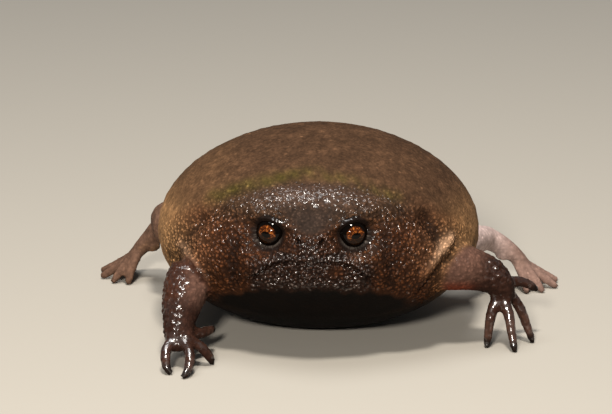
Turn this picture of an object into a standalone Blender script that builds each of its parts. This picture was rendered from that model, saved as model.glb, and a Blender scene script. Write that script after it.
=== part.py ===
"""A plain rain frog at life size, puffed up, resting on its belly with its short limbs spread.

+Z is up, the frog looks along -Y, its left side is +X, and the origin is the point of the floor under the middle
of its belly. Named sizes are in metres, and the tables of places and sizes are in millimetres.
"""

import math

import bmesh
import bpy
from mathutils import Matrix, Vector
from mathutils.bvhtree import BVHTree

MM = 0.001
GAP = 0.3 * MM  # what neighbouring solids keep between them
SPARE = 5 * MM  # how far a cutter reaches past what it cuts

# The body is an egg a little wider than long, which the floor flattens under the belly.
BODY_WIDTH = 46.2 * MM
BODY_LENGTH = 42.0 * MM
BODY_TOP = 28.4 * MM
BELLY_SINK = 0.35 * MM
BODY_MIDDLE_Y = 1.0 * MM
BODY_CUTS = 18
FACE_SHARE = 0.5  # how strongly the body's faces crowd towards the snout, where the forms are small

# Swellings of the body: place, reach and height. A negative height is a hollow. Those off the middle come in pairs.
SWELLINGS = {
    "snout": ((0.0, -20.6, 17.3), (3.5, 6.0, 2.9), 1.9),
    "muzzle": ((0.0, -20.4, 15.6), (7.6, 6.0, 2.4), 0.45),
    "chin": ((0.0, -19.6, 12.6), (6.6, 6.0, 2.3), 0.95),
    "throat hollow": ((0.0, -17.6, 7.4), (10.0, 6.0, 3.6), -1.2),
    "chest lift": ((0.0, -11.5, 2.2), (12.0, 6.5, 4.0), -1.1),
    "cheek": ((13.2, -14.6, 11.6), (5.4, 5.0, 5.0), 0.9),
    "brow": ((6.2, -17.2, 21.0), (3.8, 4.0, 1.7), 0.55),
    "crown": ((0.0, -16.4, 22.4), (9.5, 3.2, 2.4), 0.45),
    "lore": ((3.7, -19.8, 18.2), (1.3, 3.0, 1.6), -0.35),
    "mouth corner": ((9.0, -17.4, 12.2), (1.9, 4.0, 2.0), -0.5),
    "back": ((0.0, 6.0, 28.0), (15.0, 10.0, 8.0), 0.45),
    "vent": ((0.0, 21.6, 8.6), (2.6, 3.0, 2.2), 0.8),
    "thigh root": ((16.5, 13.0, 7.5), (6.0, 7.0, 5.0), 0.8),
    "shoulder": ((19.0, -8.6, 12.6), (4.0, 4.0, 3.4), 0.6),
}
# Ridges and creases of the body: the points that each passes through on the left side, height and half width.
LINES = {
    "nape": (((0.0, -13.2, 24.6), (6.0, -13.2, 24.0), (11.3, -13.0, 22.1), (15.9, -12.7, 18.6)), -0.55, 1.4),
    "arm fold": (((15.9, -12.7, 18.6), (18.0, -12.1, 14.3), (18.9, -11.6, 11.6)), -0.7, 1.2),
    "upper lip": (((0.0, -21.9, 15.9), (4.4, -20.9, 15.7), (7.4, -18.9, 14.2), (9.3, -17.2, 12.2)), 0.4, 0.9),
    "lower lip": (((0.0, -21.6, 14.1), (4.2, -20.8, 13.7), (6.8, -19.2, 12.2)), 0.35, 0.9),
}

# The head is what lies ahead of the neck, and the lower jaw is the arch of it below the mouth.
NECK_Y = -13.4 * MM
NECK_LEAN = math.radians(4.0)
MOUTH_HALF_WIDTH = 8.2 * MM
MOUTH_TOP_Z = 15.1 * MM
MOUTH_DROP = 3.2 * MM  # from the middle of the mouth to its corners
MOUTH_STEPS = 8  # straight pieces of the mouth's line on each side
JAW_HALF_WIDTH = 9.4 * MM  # under the chin
JAW_WIDEST_Z = 6.0 * MM
NOSTRIL_X = 1.6 * MM
NOSTRIL_Z = 18.0 * MM
NOSTRIL_RADIUS = 0.42 * MM

# Eyes: a ball in a socket, half covered by two lids that meet at the corners.
EYE_RADIUS = 2.3 * MM
EYE_PLACE = Vector((5.35, -16.85, 18.15)) * MM
EYE_TURN_OUT = math.radians(21.0)
EYE_TURN_UP = math.radians(4.0)
LID_THICKNESS = 0.45 * MM
LID_GAP_WIDTH = 3.9 * MM
LID_GAP_HEIGHT = 3.1 * MM
LID_SLANT = math.radians(11.0)  # the inner corner is the lower one

# Limbs. Each station of a line is x, y, z, half width and half thickness, and each of a digit is x, y and z.
# A cut between two pieces is a disc: its place, its radius and the way that it faces.
FINGER_RADII = (0.87, 0.8, 0.69, 0.55)
TOE_RADII = (0.81, 0.75, 0.56)
ARMS = {
    "right": {
        "line": (
            (-13.0, -8.6, 11.0, 3.5, 3.3),
            (-16.6, -12.4, 10.6, 3.5, 3.2),
            (-17.6, -15.2, 8.9, 3.2, 3.0),
            (-18.0, -17.3, 7.0, 2.7, 2.6),
            (-18.2, -19.0, 5.3, 2.2, 2.0),
            (-18.0, -20.3, 4.0, 2.1, 1.5),
            (-17.6, -21.1, 3.3, 2.0, 1.1),
        ),
        "across": (1.0, 0.3, 0.0),
        "fingers": (
            ((-18.6, -20.4, 3.8), (-19.5, -22.6, 2.9), (-19.4, -24.2, 1.3), (-18.9, -24.7, 0.45)),
            ((-17.4, -20.9, 3.5), (-16.3, -23.3, 2.8), (-16.2, -25.1, 1.3), (-16.7, -26.2, 0.45)),
            ((-16.7, -20.4, 3.6), (-14.9, -20.9, 2.7), (-13.9, -20.5, 1.3), (-13.6, -20.1, 0.45)),
            ((-16.9, -19.3, 3.9), (-15.2, -17.6, 3.7), (-14.3, -16.0, 3.6), (-13.9, -14.8, 3.4)),
        ),
        "cuts": (
            ((-17.5, -14.7, 9.2), 4.6, (-0.2, -0.8, -0.56)),
            ((-18.1, -18.7, 5.6), 3.2, (0.0, -0.7, -0.7)),
        ),
    },
    "left": {
        "line": (
            (13.0, -7.6, 11.4, 3.7, 3.5),
            (18.6, -9.2, 11.6, 3.8, 3.6),
            (22.4, -8.8, 10.8, 3.0, 2.95),
            (24.8, -8.5, 9.8, 2.6, 2.5),
            (26.3, -8.3, 8.6, 2.4, 1.8),
            (26.9, -8.2, 7.5, 2.2, 1.2),
        ),
        "across": (0.2, 1.0, 0.0),
        "fingers": (
            ((26.8, -6.9, 8.5), (28.7, -6.1, 8.4), (30.2, -5.5, 7.8), (31.2, -5.1, 7.0)),
            ((27.0, -7.5, 7.6), (28.8, -7.8, 5.2), (29.9, -8.0, 2.6), (30.7, -8.2, 0.45)),
            ((26.5, -9.2, 7.2), (27.3, -10.6, 4.8), (27.7, -11.6, 2.5), (28.1, -12.5, 0.45)),
            ((25.7, -9.0, 7.3), (24.9, -9.9, 4.9), (24.5, -10.3, 2.4), (24.3, -10.7, 0.45)),
        ),
        "cuts": (
            ((21.9, -8.8, 10.9), 4.4, (1.0, 0.0, -0.2)),
            ((25.3, -8.4, 9.4), 3.2, (0.85, 0.1, -0.5)),
        ),
    },
}
LEGS = {
    "right": {
        "thigh": ((-12.0, 13.0, 7.4, 4.2, 4.0), (-18.0, 11.4, 9.0, 4.3, 3.9), (-22.2, 10.2, 11.0, 3.1, 3.1)),
        "shank": ((-21.9, 10.2, 11.4, 3.0, 3.0), (-23.2, 14.0, 11.2, 2.8, 2.8), (-24.0, 18.4, 9.8, 1.9, 1.9)),
        "sole": (
            (-23.9, 18.2, 9.9, 1.9, 1.9),
            (-25.6, 20.0, 8.0, 1.9, 1.5),
            (-28.0, 20.6, 5.2, 2.1, 1.2),
            (-29.8, 20.8, 3.2, 1.9, 0.9),
        ),
        "toes": (
            ((-28.6, 19.4, 4.4), (-29.4, 17.8, 2.6), (-29.9, 16.6, 0.5)),
            ((-29.5, 19.8, 3.6), (-31.1, 18.2, 1.9), (-32.2, 17.2, 0.5)),
            ((-29.9, 20.5, 3.2), (-32.4, 19.9, 1.6), (-34.2, 19.5, 0.5)),
            ((-29.9, 21.2, 3.2), (-32.4, 22.0, 1.6), (-34.6, 22.6, 0.5)),
            ((-29.0, 21.9, 3.8), (-30.4, 23.6, 1.9), (-31.2, 24.8, 0.5)),
        ),
        "spade": (-26.6, 19.3, 5.6),
        "cuts": (
            ((-21.4, 12.8, 10.6), 8.0, (-0.6, 0.8, 0.0)),
            ((-24.3, 18.9, 9.2), 3.6, (-0.45, 0.6, -0.66)),
        ),
    },
    "left": {
        "thigh": ((12.0, 13.0, 7.2, 4.2, 4.0), (17.4, 11.6, 8.0, 4.1, 3.7), (20.6, 10.8, 8.9, 2.9, 2.8)),
        "shank": ((20.8, 10.8, 9.1, 2.7, 2.6), (22.8, 13.8, 8.8, 2.3, 2.2), (24.5, 17.0, 8.2, 1.9, 1.8)),
        "sole": (
            (24.3, 16.8, 8.3, 1.9, 1.8),
            (26.6, 18.2, 7.0, 1.9, 1.5),
            (29.0, 19.0, 5.1, 2.1, 1.2),
            (30.6, 19.5, 3.4, 1.9, 0.9),
        ),
        "toes": (
            ((29.2, 18.2, 4.6), (30.2, 16.6, 2.6), (30.8, 15.4, 0.5)),
            ((30.1, 18.6, 3.8), (31.9, 17.0, 2.0), (33.1, 16.0, 0.5)),
            ((30.5, 19.3, 3.4), (33.2, 18.8, 1.7), (35.2, 18.4, 0.5)),
            ((30.5, 20.0, 3.4), (33.2, 20.8, 1.7), (35.4, 21.4, 0.5)),
            ((29.6, 20.7, 4.0), (31.2, 22.4, 2.0), (32.1, 23.6, 0.5)),
        ),
        "spade": (27.4, 17.6, 5.6),
        "cuts": (
            ((21.6, 12.6, 9.0), 8.0, (0.55, 0.84, 0.0)),
            ((24.9, 17.2, 7.9), 3.6, (0.75, 0.5, -0.42)),
        ),
    },
}
SPADE_SIZE = (1.5, 0.7, 1.1)
LIMB_SIDES = 12
DIGIT_SIDES = 7
RINGS_A_SPAN = 2
TIP_ANGLES = (math.radians(38.0), math.radians(70.0))  # where the rings of a domed end lie
FLOOR_SIZE = 100 * MM

FINISHES = {
    "back_skin": ("684F41", 0.55),
    "face_skin": ("5A3826", 0.45),
    "jaw_skin": ("45322A", 0.45),
    "limb_skin": ("6B5246", 0.4),
    "foot_skin": ("9A8073", 0.5),
    "eye": ("7A3E14", 0.08),
}


def linear(channel):
    """One sRGB channel, 0 to 1, as the linear value that a shader takes."""
    return channel / 12.92 if channel <= 0.04045 else ((channel + 0.055) / 1.055) ** 2.4


def finish(obj, name):
    """Gives the object its own material, from the table of finishes."""
    colour, roughness = FINISHES[name]
    material = bpy.data.materials.new(f"{obj.name}_{name}")
    material.use_nodes = True
    shader = material.node_tree.nodes["Principled BSDF"]
    channels = [linear(int(colour[i : i + 2], 16) / 255) for i in (0, 2, 4)]
    shader.inputs["Base Color"].default_value = (*channels, 1.0)
    shader.inputs["Roughness"].default_value = roughness
    shader.inputs["Metallic"].default_value = 0.0
    obj.data.materials.clear()
    obj.data.materials.append(material)
    obj.data.shade_smooth()


def add_object(name, bm):
    """Puts a bmesh in the scene as an object, and frees it."""
    bm.normal_update()
    bmesh.ops.recalc_face_normals(bm, faces=bm.faces)
    mesh = bpy.data.meshes.new(name)
    bm.to_mesh(mesh)
    bm.free()
    obj = bpy.data.objects.new(name, mesh)
    bpy.context.scene.collection.objects.link(obj)
    return obj


def copy_of(obj, name, grown=0.0):
    """A copy of the object, with its surface moved out by `grown`."""
    bm = bmesh.new()
    bm.from_mesh(obj.data)
    bm.normal_update()
    for vert in bm.verts:
        vert.co += vert.normal * grown
    return add_object(name, bm)


def islands_of(bm):
    """The bmesh's loose pieces, as sets of vertices."""
    left = set(bm.verts)
    islands = []
    while left:
        reached = {left.pop()}
        edge = list(reached)
        while edge:
            near = {e.other_vert(v) for v in edge for e in v.link_edges} & left
            left -= near
            reached |= near
            edge = list(near)
        islands.append(reached)
    return islands


def keep_island(obj, choose):
    """Drops every loose piece of the mesh but the one that `choose` takes from the list of them."""
    bm = bmesh.new()
    bm.from_mesh(obj.data)
    kept = choose(islands_of(bm))
    bmesh.ops.delete(bm, geom=[v for v in bm.verts if v not in kept], context="VERTS")
    bm.to_mesh(obj.data)
    bm.free()


def apply_boolean(obj, operation, others):
    """Applies one Boolean of the other objects to this one, and removes them.

    The solver is MANIFOLD, because EXACT leaves open edges where the lids' balls meet the skin.
    """
    group = bpy.data.collections.new("operands")
    bpy.context.scene.collection.children.link(group)
    for other in others:
        group.objects.link(other)
    modifier = obj.modifiers.new("boolean", "BOOLEAN")
    modifier.operation = operation
    modifier.solver = "MANIFOLD"
    modifier.object = others[0]
    if len(others) > 1:
        modifier.operand_type = "COLLECTION"
        modifier.collection = group
    graph = bpy.context.evaluated_depsgraph_get()
    mesh = bpy.data.meshes.new_from_object(obj.evaluated_get(graph))
    obj.modifiers.clear()
    obj.data = mesh
    for other in others:
        bpy.data.objects.remove(other)
    bpy.data.collections.remove(group)


def cut_or_fuse(obj, operation, others):
    """A Boolean that leaves one closed body: the largest, without scraps."""
    apply_boolean(obj, operation, others)
    keep_island(obj, lambda islands: max(islands, key=len))


def distance_to_line(point, corners):
    """The shortest distance from a point to a line through these corners."""
    shortest = math.inf
    for start, end in zip(corners, corners[1:]):
        along = end - start
        share = (point - start).dot(along) / along.length_squared
        foot = start + along * min(max(share, 0.0), 1.0)
        shortest = min(shortest, (point - foot).length)
    return shortest


def swelling_at(place):
    """How far the skin stands out from the plain egg at a place on its left half."""
    height = 0.0
    for centre, reach, peak in SWELLINGS.values():
        offset = [(place[i] - centre[i] * MM) / (reach[i] * MM) for i in range(3)]
        height += peak * MM * math.exp(-sum(o * o for o in offset))
    for corners, rise, half_width in LINES.values():
        gap = distance_to_line(place, [Vector(c) * MM for c in corners])
        height += rise * MM * math.exp(-((gap / (half_width * MM)) ** 2))
    return height


def make_body():
    """Head and torso in one skin: a cube rounded to an egg, with its swellings and creases."""
    half_height = (BODY_TOP + BELLY_SINK) / 2
    half_size = Vector((BODY_WIDTH / 2, BODY_LENGTH / 2, half_height))
    middle = Vector((0.0, BODY_MIDDLE_Y, half_height - BELLY_SINK))
    bm = bmesh.new()
    bmesh.ops.create_cube(bm, size=2.0)
    bmesh.ops.subdivide_edges(bm, edges=bm.edges, cuts=BODY_CUTS, use_grid_fill=True)
    for vert in bm.verts:
        even = Vector([math.tan(c * math.pi / 4) for c in vert.co]).normalized()
        ray = (even - Vector((0.0, FACE_SHARE, 0.0))).normalized()
        place = middle + Vector([ray[i] * half_size[i] for i in range(3)])
        normal = Vector([ray[i] / half_size[i] for i in range(3)]).normalized()
        left_place = Vector((abs(place.x), place.y, place.z))
        vert.co = place + normal * swelling_at(left_place)
    return add_object("body", bm)


def neck_block(side):
    """All that lies ahead of the neck, with side -1, or behind it, with side 1, short of it by half the gap."""
    size = 2 * BODY_WIDTH
    bm = bmesh.new()
    bmesh.ops.create_cube(bm, size=size)
    bmesh.ops.translate(bm, verts=bm.verts, vec=(0.0, side * (size + GAP) / 2, 0.0))
    bmesh.ops.rotate(bm, verts=bm.verts, cent=(0, 0, 0), matrix=Matrix.Rotation(NECK_LEAN, 3, "X"))
    bmesh.ops.translate(bm, verts=bm.verts, vec=(0.0, NECK_Y, BODY_TOP / 2))
    return add_object("neck_block", bm)


def mouth_height(x):
    """The mouth's line seen from the front: level in the middle and turned down at its corners."""
    return MOUTH_TOP_Z - MOUTH_DROP * abs(x / MOUTH_HALF_WIDTH) ** 3


def jaw_arch(grown):
    """The arch under the mouth, run through the head from behind the neck to past the snout."""
    line = []
    for i in range(-MOUTH_STEPS, MOUTH_STEPS + 1):
        share = i / MOUTH_STEPS
        line.append(((MOUTH_HALF_WIDTH + grown) * share, mouth_height(MOUTH_HALF_WIDTH * share) + grown))
    foot = JAW_HALF_WIDTH + grown
    outline = [(-foot, -SPARE), (-foot, JAW_WIDEST_Z), *line, (foot, JAW_WIDEST_Z), (foot, -SPARE)]
    bm = bmesh.new()
    face = bm.faces.new([bm.verts.new((x, NECK_Y + SPARE, z)) for x, z in outline])
    pulled = bmesh.ops.extrude_face_region(bm, geom=[face])["geom"]
    front = [v for v in pulled if isinstance(v, bmesh.types.BMVert)]
    bmesh.ops.translate(bm, verts=front, vec=(0.0, -BODY_LENGTH / 2 - SPARE, 0.0))
    return add_object("jaw_arch", bm)


def ball(name, centre, radius, segments=20, rings=12, size=(1.0, 1.0, 1.0)):
    bm = bmesh.new()
    bmesh.ops.create_uvsphere(bm, u_segments=segments, v_segments=rings, radius=radius)
    bmesh.ops.scale(bm, verts=bm.verts, vec=size)
    bmesh.ops.translate(bm, verts=bm.verts, vec=centre)
    return add_object(name, bm)


def mirrored(vector, side):
    """The left side's vector for side 1, and its mirror image for side -1."""
    return Vector((vector.x * side, vector.y, vector.z))


def lid_gap(side):
    """The oval hole between the two lids, from the middle of the eye straight out along its axis."""
    out = Vector((math.sin(EYE_TURN_OUT), -math.cos(EYE_TURN_OUT), math.tan(EYE_TURN_UP))).normalized()
    level = Vector((math.cos(EYE_TURN_OUT), math.sin(EYE_TURN_OUT), 0.0))
    across = level * math.cos(LID_SLANT) + out.cross(level) * math.sin(LID_SLANT)
    up = out.cross(across)
    depth = 3 * EYE_RADIUS
    bm = bmesh.new()
    bmesh.ops.create_cone(bm, cap_ends=True, segments=20, radius1=1.0, radius2=1.0, depth=depth)
    bmesh.ops.translate(bm, verts=bm.verts, vec=(0.0, 0.0, depth / 2))
    bmesh.ops.scale(bm, verts=bm.verts, vec=(LID_GAP_WIDTH / 2, LID_GAP_HEIGHT / 2, 1.0))
    for vert in bm.verts:
        vert.co = mirrored(EYE_PLACE + across * vert.co.x + up * vert.co.y + out * vert.co.z, side)
    return add_object("lid_gap", bm)


def between(stations, steps):
    """More stations on a smooth curve through the given ones."""
    ends = [stations[0], *stations, stations[-1]]
    smooth = []
    for a, b, c, d in zip(ends, ends[1:], ends[2:], ends[3:]):
        for i in range(steps):
            t = i / steps
            weights = (
                -t / 2 + t * t - t**3 / 2,
                1 - 2.5 * t * t + 1.5 * t**3,
                t / 2 + 2 * t * t - 1.5 * t**3,
                -t * t / 2 + t**3 / 2,
            )
            smooth.append([sum(w * s[k] for w, s in zip(weights, (a, b, c, d))) for k in range(len(b))])
    return [*smooth, stations[-1]]


def dome(end, outward, size):
    """Ever smaller rings past a limb's end, each a centre and a size, that round it off."""
    rings = []
    for angle in TIP_ANGLES:
        centre = end + outward * min(size) * math.sin(angle)
        rings.append((centre, [s * math.cos(angle) for s in size]))
    return rings


def next_ring(bm, ring):
    """Extrudes a ring of vertices, and gives the copies in the ring's order."""
    edges = {e for v in ring for e in v.link_edges if e.other_vert(v) in ring}
    made = bmesh.ops.extrude_edge_only(bm, edges=list(edges))["geom"]
    copies = {v for v in made if isinstance(v, bmesh.types.BMVert)}
    return [next(e.other_vert(v) for e in v.link_edges if e.other_vert(v) in copies) for v in ring]


def tube(name, stations, sides, across=None):
    """A closed round limb along its stations, with a domed end at each."""
    rows = [[v * MM for v in row] for row in between(stations, RINGS_A_SPAN)]
    centres = [Vector(row[:3]) for row in rows]
    sizes = [(row[3], row[-1]) for row in rows]
    first = (centres[1] - centres[0]).normalized()
    last = (centres[-1] - centres[-2]).normalized()
    root_dome = reversed(dome(centres[0], -first, sizes[0]))
    rings = [*root_dome, *zip(centres, sizes), *dome(centres[-1], last, sizes[-1])]
    side = Vector(across) if across else first.orthogonal()
    bm = bmesh.new()
    ring = bmesh.ops.create_circle(bm, segments=sides, radius=1.0)["verts"]
    for i, (centre, size) in enumerate(rings):
        if i:
            ring = next_ring(bm, ring)
        ahead = rings[min(i + 1, len(rings) - 1)][0]
        behind = rings[max(i - 1, 0)][0]
        tangent = (ahead - behind).normalized()
        side = (side - tangent * side.dot(tangent)).normalized()
        over = tangent.cross(side)
        for k, vert in enumerate(ring):
            turn = 2 * math.pi * k / sides
            vert.co = centre + side * size[0] * math.cos(turn) + over * size[1] * math.sin(turn)
    bmesh.ops.holes_fill(bm, edges=bm.edges, sides=sides)
    return add_object(name, bm)


def digit(name, places, radii):
    return tube(name, [(*place, radius) for place, radius in zip(places, radii)], DIGIT_SIDES)


def cut_disc(place, radius, facing):
    """A disc as thick as the gap between two pieces of a limb."""
    bm = bmesh.new()
    bmesh.ops.create_cone(bm, cap_ends=True, segments=24, radius1=radius * MM, radius2=radius * MM, depth=GAP)
    turn = Vector((0, 0, 1)).rotation_difference(Vector(facing)).to_matrix()
    bmesh.ops.rotate(bm, verts=bm.verts, cent=(0, 0, 0), matrix=turn)
    bmesh.ops.translate(bm, verts=bm.verts, vec=Vector(place) * MM)
    return add_object("cut_disc", bm)


def part_limb(whole, root, cuts, names):
    """Parts a limb with thin discs, and names its pieces from the root to the digits."""
    apply_boolean(whole, "DIFFERENCE", [cut_disc(*cut) for cut in cuts])

    def distance_from_root(island):
        middle = sum((v.co for v in island), Vector()) / len(island)
        return (middle - Vector(root) * MM).length

    pieces = []
    for number, name in enumerate(names):

        def take(islands, number=number):
            largest = sorted(islands, key=len)[-len(names) :]
            return sorted(largest, key=distance_from_root)[number]

        piece = copy_of(whole, name)
        keep_island(piece, take)
        pieces.append(piece)
    bpy.data.objects.remove(whole)
    return pieces


def make_arm(side, body):
    """Upper arm, forearm and hand of one side."""
    plan = ARMS[side]
    arm = tube("arm", plan["line"], LIMB_SIDES, plan["across"])
    cut_or_fuse(arm, "UNION", [digit("finger", places, FINGER_RADII) for places in plan["fingers"]])
    cut_or_fuse(arm, "DIFFERENCE", [copy_of(body, "body_grown", GAP)])
    names = [f"{name}_{side}" for name in ("upper_arm", "forearm", "hand")]
    return part_limb(arm, plan["line"][0][:3], plan["cuts"], names)


def make_leg(side, body):
    """Thigh, shank and foot of one side."""
    plan = LEGS[side]
    leg = tube("leg", plan["thigh"], LIMB_SIDES)
    pieces = [tube("shank", plan["shank"], LIMB_SIDES), tube("sole", plan["sole"], LIMB_SIDES, (0.0, 1.0, 0.0))]
    pieces += [digit("toe", places, TOE_RADII) for places in plan["toes"]]
    pieces.append(ball("spade", Vector(plan["spade"]) * MM, MM, 12, 8, SPADE_SIZE))
    cut_or_fuse(leg, "UNION", pieces)
    cut_or_fuse(leg, "DIFFERENCE", [copy_of(body, "body_grown", GAP)])
    names = [f"{name}_{side}" for name in ("thigh", "shank", "foot")]
    return part_limb(leg, plan["thigh"][0][:3], plan["cuts"], names)


def rest_on_floor(obj):
    """Cuts off what would lie under the floor, which leaves the small flats that the frog rests on."""
    if min(v.co.z for v in obj.data.vertices) < 0:
        bm = bmesh.new()
        bmesh.ops.create_cube(bm, size=FLOOR_SIZE)
        bmesh.ops.translate(bm, verts=bm.verts, vec=(0.0, 0.0, -FLOOR_SIZE / 2))
        cut_or_fuse(obj, "DIFFERENCE", [add_object("under_floor", bm)])


def skin_ahead(obj, x, z):
    """The point of the face that a line from the front along +Y meets first."""
    bm = bmesh.new()
    bm.from_mesh(obj.data)
    tree = BVHTree.FromBMesh(bm)
    bm.free()
    return tree.ray_cast(Vector((x, -BODY_LENGTH, z)), Vector((0, 1, 0)))[0]


def make_head(body):
    """Head and lower jaw, with the lids on the head and the nostrils and sockets cut in it."""
    head = copy_of(body, "head")
    cut_or_fuse(head, "INTERSECT", [neck_block(-1)])
    jaw = copy_of(head, "lower_jaw")
    cut_or_fuse(jaw, "INTERSECT", [jaw_arch(-GAP / 2)])
    cut_or_fuse(head, "DIFFERENCE", [jaw_arch(GAP / 2)])
    eyes = [mirrored(EYE_PLACE, side) for side in (-1, 1)]
    cut_or_fuse(head, "UNION", [ball("lids", eye, EYE_RADIUS + GAP + LID_THICKNESS) for eye in eyes])
    cut_or_fuse(head, "DIFFERENCE", [lid_gap(side) for side in (-1, 1)])
    hollows = [ball("socket", eye, EYE_RADIUS + GAP) for eye in eyes]
    for side in (-1, 1):
        hollows.append(ball("nostril", skin_ahead(head, NOSTRIL_X * side, NOSTRIL_Z), NOSTRIL_RADIUS, 10, 8))
    cut_or_fuse(head, "DIFFERENCE", hollows)
    return head, jaw


def make_torso(body):
    torso = copy_of(body, "torso")
    cut_or_fuse(torso, "INTERSECT", [neck_block(1)])
    rest_on_floor(torso)
    return torso


def main():
    for obj in list(bpy.data.objects):
        bpy.data.objects.remove(obj)
    body = make_body()
    head, jaw = make_head(body)
    finish(head, "face_skin")
    finish(jaw, "jaw_skin")
    finish(make_torso(body), "back_skin")
    for name, side in (("right", -1), ("left", 1)):
        finish(ball(f"eye_{name}", mirrored(EYE_PLACE, side), EYE_RADIUS), "eye")
        for piece in [*make_arm(name, body), *make_leg(name, body)]:
            rest_on_floor(piece)
            finish(piece, "foot_skin" if piece.name.startswith("foot") else "limb_skin")
    bpy.data.objects.remove(body)


main()
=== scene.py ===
"""The looks of a plain rain frog: one wet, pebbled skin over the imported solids, two eyes, and a pale studio.

The frog looks along -Y and its left side is +X, with +Z up, in the solids' own frame. Pieces are shaped in
millimetres, as all the tables and fields here are, and a finished mesh is brought to metres at the end.
"""

import math

import bmesh
import bpy
import numpy as np
from mathutils import Matrix, Vector, kdtree


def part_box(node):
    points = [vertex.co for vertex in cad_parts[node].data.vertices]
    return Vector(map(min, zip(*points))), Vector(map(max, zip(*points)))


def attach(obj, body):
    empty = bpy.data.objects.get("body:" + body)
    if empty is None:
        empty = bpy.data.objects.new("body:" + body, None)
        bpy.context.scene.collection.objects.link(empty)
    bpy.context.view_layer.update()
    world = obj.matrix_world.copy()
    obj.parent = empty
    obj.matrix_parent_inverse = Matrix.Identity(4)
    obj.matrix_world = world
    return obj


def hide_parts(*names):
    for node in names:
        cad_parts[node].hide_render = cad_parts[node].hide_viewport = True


MM = 0.001
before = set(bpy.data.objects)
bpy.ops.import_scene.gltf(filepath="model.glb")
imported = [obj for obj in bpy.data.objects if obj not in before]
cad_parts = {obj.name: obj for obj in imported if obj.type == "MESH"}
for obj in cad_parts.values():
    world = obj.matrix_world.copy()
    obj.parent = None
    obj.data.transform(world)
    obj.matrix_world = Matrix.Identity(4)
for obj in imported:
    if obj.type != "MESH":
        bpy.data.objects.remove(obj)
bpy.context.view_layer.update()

# Body: an egg a little wider than long, which the floor flattens under the belly.
BODY_HALF = np.array([23.1, 21.0, 14.375])
BODY_MIDDLE = np.array([0.0, 1.0, 14.025])
BODY_CUTS = 72  # in each edge of the cube that is rounded to the egg
FACE_SHARE = 0.35  # how strongly its points crowd towards the face

# Swellings of the body: place, reach and height on its left side. A negative height is a hollow.
SWELLINGS = {
    "snout": ((0.0, -20.6, 17.3), (3.5, 6.0, 2.9), 1.9),
    "muzzle": ((0.0, -20.4, 15.6), (7.6, 6.0, 2.4), 0.45),
    "chin": ((0.0, -19.6, 12.6), (6.6, 6.0, 2.3), 0.95),
    "throat hollow": ((0.0, -17.6, 7.4), (10.0, 6.0, 3.6), -1.2),
    "chest lift": ((0.0, -11.5, 2.2), (12.0, 6.5, 4.0), -1.1),
    "cheek": ((13.2, -14.6, 11.6), (5.4, 5.0, 5.0), 0.9),
    "brow": ((6.2, -17.2, 21.0), (3.8, 4.0, 1.7), 0.55),
    "crown": ((0.0, -16.4, 22.4), (9.5, 3.2, 2.4), 0.45),
    "lore": ((3.7, -19.8, 18.2), (1.3, 3.0, 1.6), -0.35),
    "mouth corner": ((9.0, -17.4, 12.2), (1.9, 4.0, 2.0), -0.5),
    "back": ((0.0, 6.0, 28.0), (15.0, 10.0, 8.0), 0.45),
    "vent": ((0.0, 21.6, 8.6), (2.6, 3.0, 2.2), 0.8),
    "thigh root": ((16.5, 13.0, 7.5), (6.0, 7.0, 5.0), 0.8),
    "shoulder": ((19.0, -8.6, 12.6), (4.0, 4.0, 3.4), 0.6),
}
# Broad ridges and creases of both sides: points on the left side, height and half width.
LINES = {
    "nape": (((0.0, -13.2, 24.6), (6.0, -13.2, 24.0), (11.3, -13.0, 22.1), (15.9, -12.7, 18.6)), -0.55, 1.4),
    "arm fold": (((15.9, -12.7, 18.6), (18.0, -12.1, 14.3), (18.9, -11.6, 11.6)), -0.7, 1.2),
    "upper lip": (((0.0, -21.9, 15.9), (4.4, -20.9, 15.7), (7.4, -18.9, 14.2), (9.3, -17.2, 12.2)), 0.4, 0.9),
    "lower lip": (((0.0, -21.6, 14.1), (4.2, -20.8, 13.7), (6.8, -19.2, 12.2)), 0.35, 0.9),
}
# Where the back's olive tinge lies, from the frog's right side to its left.
OLIVE_STREAK = (
    (-14.2, -11.3, 21.5),
    (-10.2, -12.0, 23.0),
    (-6.2, -12.1, 24.2),
    (0.0, -11.7, 25.3),
    (5.0, -12.4, 24.2),
    (11.2, -12.3, 22.1),
)
# Narrow folds, each on one side only: points, height and half width.
FOLDS = {
    "left arm fold": (
        (
            (19.0, -11.0, 15.9),
            (18.2, -12.3, 15.1),
            (17.4, -13.3, 14.2),
            (16.4, -14.6, 13.1),
            (15.5, -15.3, 12.0),
        ),
        0.5,
        0.7,
    ),
    "left arm crease": (
        (
            (20.0, -10.6, 15.3),
            (19.0, -12.2, 13.8),
            (18.0, -13.4, 12.7),
            (16.8, -14.6, 11.5),
            (14.8, -14.4, 8.8),
        ),
        -0.6,
        0.42,
    ),
    "left cheek hollow": (
        ((15.2, -12.1, 19.2), (15.9, -11.9, 18.0), (16.8, -12.0, 16.9)),
        -0.4,
        1.1,
    ),
    "right arm fold": (
        (
            (-18.6, -11.4, 14.4),
            (-17.3, -14.1, 13.6),
            (-15.9, -15.6, 12.5),
            (-14.6, -16.1, 11.1),
            (-13.8, -15.6, 9.4),
        ),
        0.45,
        0.45,
    ),
    "right arm crease": (
        (
            (-20.4, -9.2, 12.6),
            (-18.4, -13.5, 12.7),
            (-17.0, -15.4, 11.9),
            (-15.6, -16.4, 10.6),
            (-14.0, -14.8, 7.8),
        ),
        -0.6,
        0.45,
    ),
}

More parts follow.
